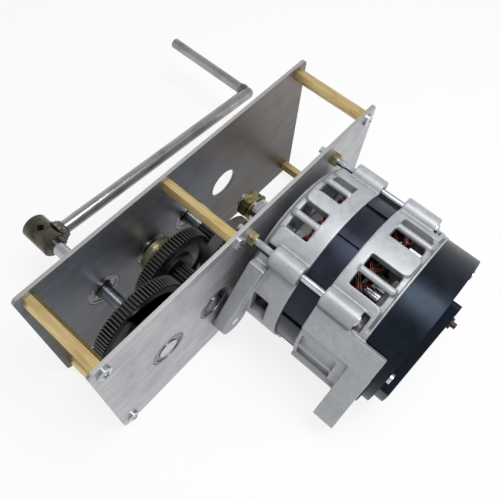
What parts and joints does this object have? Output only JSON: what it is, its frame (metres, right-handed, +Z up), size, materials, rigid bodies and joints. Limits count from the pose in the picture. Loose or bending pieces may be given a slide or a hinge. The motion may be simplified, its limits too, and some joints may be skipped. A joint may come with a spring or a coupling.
{
  "type": "hand crank generator",
  "caption": "Vehicle alternator driven through exposed spur gears between two flat plates by a long offset hand crank.",
  "frame": {"origin": "middle of the near plate's lower edge, on the surface that the plates stand on", "axes": "+X along the plates towards the alternator's end, +Y towards the crank, +Z up"},
  "size_m": [0.3153, 0.402, 0.148],
  "materials": {
    "plate_aluminium": "brushed along the length",
    "standoff_brass": "drawn, satin",
    "zinc_steel": "bright zinc plate",
    "bearing_steel": "ground, dark",
    "ground_steel": "ground",
    "crank_steel": "bare, worn",
    "weld_steel": "rough weld",
    "black_steel": "blackened, oiled",
    "boss_steel": "turned",
    "yellow_zinc": "yellow passivated zinc",
    "cast_aluminium": "cast, fine blasted",
    "laminated_steel": "black lacquer",
    "enamelled_copper": "enamelled wire",
    "pressed_steel": "pressed sheet",
    "bare_copper": "bare copper",
    "black_plastic": "satin"
  },
  "bodies": {
    "frame": {"front_plate": "plate_aluminium", "rear_plate": "plate_aluminium", "standoffs": "standoff_brass", "front_screws": "zinc_steel", "rear_screws": "zinc_steel", "bearing_outer_rings": "bearing_steel", "rotor_bearing_outer": "bearing_steel", "front_nose": "cast_aluminium", "front_housing": "cast_aluminium", "front_lug": "cast_aluminium", "rear_housing": "cast_aluminium", "rear_end_wall": "cast_aluminium", "rear_lug": "cast_aluminium", "stator_core": "laminated_steel", "stator_winding": "enamelled_copper", "brush_holder": "black_plastic", "rectifier": "cast_aluminium", "rear_cover": "black_plastic", "cover_screws": "zinc_steel", "terminal_base": "black_plastic", "terminal_stud": "bare_copper", "terminal_nuts": "zinc_steel", "through_bolts": "zinc_steel", "bolt_nuts": "yellow_zinc", "lug_bolt": "zinc_steel", "lug_bush": "pressed_steel"},
    "crank": {"crank_shaft": "ground_steel", "crank_hub": "crank_steel", "hub_screw": "black_steel", "crank_arm": "crank_steel", "crank_handle": "crank_steel", "crank_welds": "weld_steel", "clips_a": "black_steel", "gear_1": "black_steel", "gear_1_collar": "ground_steel", "inner_rings_a": "ground_steel"},
    "second_shaft": {"shaft_b": "ground_steel", "pinion_2": "black_steel", "gear_2": "black_steel", "gear_2_boss": "boss_steel", "clips_b": "black_steel", "inner_rings_b": "ground_steel"},
    "third_shaft": {"shaft_c": "ground_steel", "pinion_3": "black_steel", "gear_3": "black_steel", "sleeves_c": "ground_steel", "clips_c": "black_steel", "inner_rings_c": "ground_steel"},
    "rotor": {"rotor_shaft": "ground_steel", "pinion_4": "black_steel", "shaft_spacer": "ground_steel", "spring_washer": "yellow_zinc", "shaft_nut": "yellow_zinc", "claw_pole_front": "laminated_steel", "claw_pole_rear": "laminated_steel", "field_coil": "enamelled_copper", "fans": "pressed_steel", "slip_rings": "bare_copper", "rotor_bearing_inner": "ground_steel"}
  },
  "joints": [
    {"name": "crank_spin", "type": "hinge", "parent": "frame", "child": "crank", "pos_m": [-0.093, 0.0365, 0.074], "axis": [0, 1, 0], "continuous": true},
    {"name": "second_spin", "type": "hinge", "parent": "frame", "child": "second_shaft", "pos_m": [-0.042, 0.0365, 0.074], "axis": [0, 1, 0], "continuous": true},
    {"name": "third_spin", "type": "hinge", "parent": "frame", "child": "third_shaft", "pos_m": [0.0025, 0.0365, 0.074], "axis": [0, 1, 0], "continuous": true},
    {"name": "rotor_spin", "type": "hinge", "parent": "frame", "child": "rotor", "pos_m": [0.048, 0.0365, 0.074], "axis": [0, 1, 0], "continuous": true}
  ],
  "couplings": [
    {"joint": "second_spin", "follows": "crank_spin", "ratio": -5},
    {"joint": "third_spin", "follows": "crank_spin", "ratio": 22.812},
    {"joint": "rotor_spin", "follows": "crank_spin", "ratio": -44.153}
  ]
}
